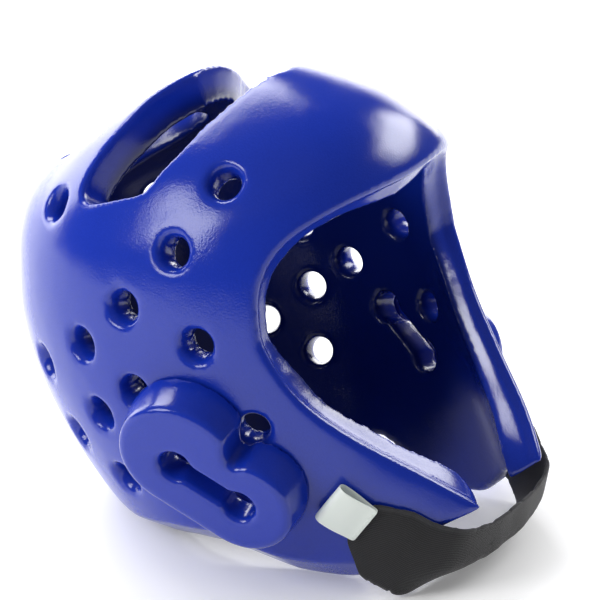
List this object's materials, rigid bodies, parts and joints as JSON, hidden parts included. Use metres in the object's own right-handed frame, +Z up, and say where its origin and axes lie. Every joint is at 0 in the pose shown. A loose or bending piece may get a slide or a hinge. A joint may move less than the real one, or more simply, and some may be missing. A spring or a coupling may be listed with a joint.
{
  "type": "taekwondo headgear",
  "caption": "Glossy dipped-foam head guard with open face, crown openings, side vents, raised kidney-shaped ear pads with slots, and an elastic chin strap, leaning back at rest.",
  "frame": {"origin": "middle of the bounding box's base, on the surface the helmet rests on", "axes": "+Z up, -Y the way the face opening looks, -X the wearer's right"},
  "size_m": [0.234, 0.2606, 0.2158],
  "materials": {
    "dipped_vinyl": "glossy blue vinyl skin over soft foam",
    "elastic": "matt black woven elastic",
    "ribbon": "white satin ribbon"
  },
  "bodies": {
    "root": {"shell": "dipped_vinyl", "ear_pad_right": "dipped_vinyl", "ear_pad_left": "dipped_vinyl", "chin_strap": "elastic", "care_label": "ribbon"}
  },
  "joints": []
}
